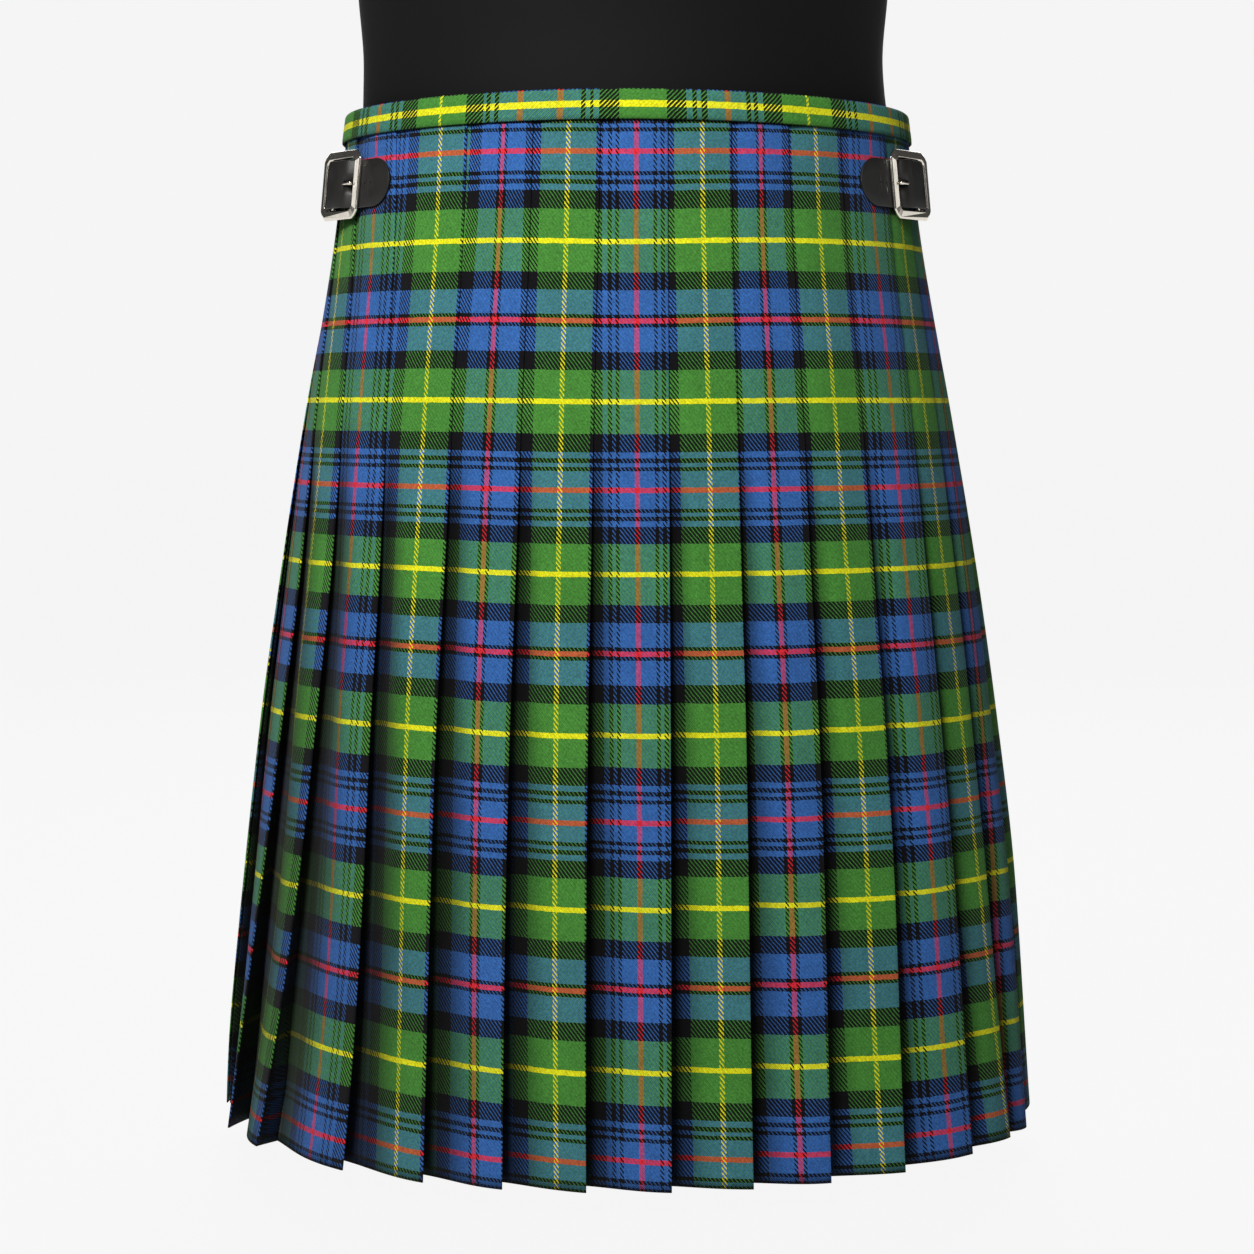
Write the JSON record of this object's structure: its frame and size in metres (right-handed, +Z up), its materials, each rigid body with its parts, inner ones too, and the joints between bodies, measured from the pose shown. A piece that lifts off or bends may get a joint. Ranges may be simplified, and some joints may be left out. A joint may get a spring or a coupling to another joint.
{
  "type": "Scottish kilt on a limbless dress form",
  "caption": "Pleated tartan wool kilt with a strap and buckle at each side, shown from its pleated back on a plain black dress form with a stand.",
  "frame": {"origin": "on the floor, under the middle of the whole part's box", "axes": "+Z up, the pleated back faces -Y, the aprons face +Y, the wearer's right side is +X"},
  "size_m": [0.4956, 0.3406, 0.753],
  "materials": {
    "tartan_wool": "twill-woven worsted wool, green, blue and black with yellow and red lines",
    "tartan_wool_band": "the same cloth cut across, green with a yellow line",
    "black_leather": "smooth black leather, satin",
    "nickel_plate": "polished nickel plate",
    "form_cover": "matte black",
    "form_metal": "satin black paint"
  },
  "bodies": {
    "root": {"kilt_pleats": "tartan_wool", "apron_over": "tartan_wool", "apron_under": "tartan_wool", "waistband": "tartan_wool_band", "strap_left": "black_leather", "strap_right": "black_leather", "buckle_tab_left": "black_leather", "buckle_tab_right": "black_leather", "buckle_frame_left": "nickel_plate", "buckle_frame_right": "nickel_plate", "buckle_prong_left": "nickel_plate", "buckle_prong_right": "nickel_plate", "form_torso": "form_cover", "form_pole": "form_metal", "form_base": "form_metal"}
  },
  "joints": []
}
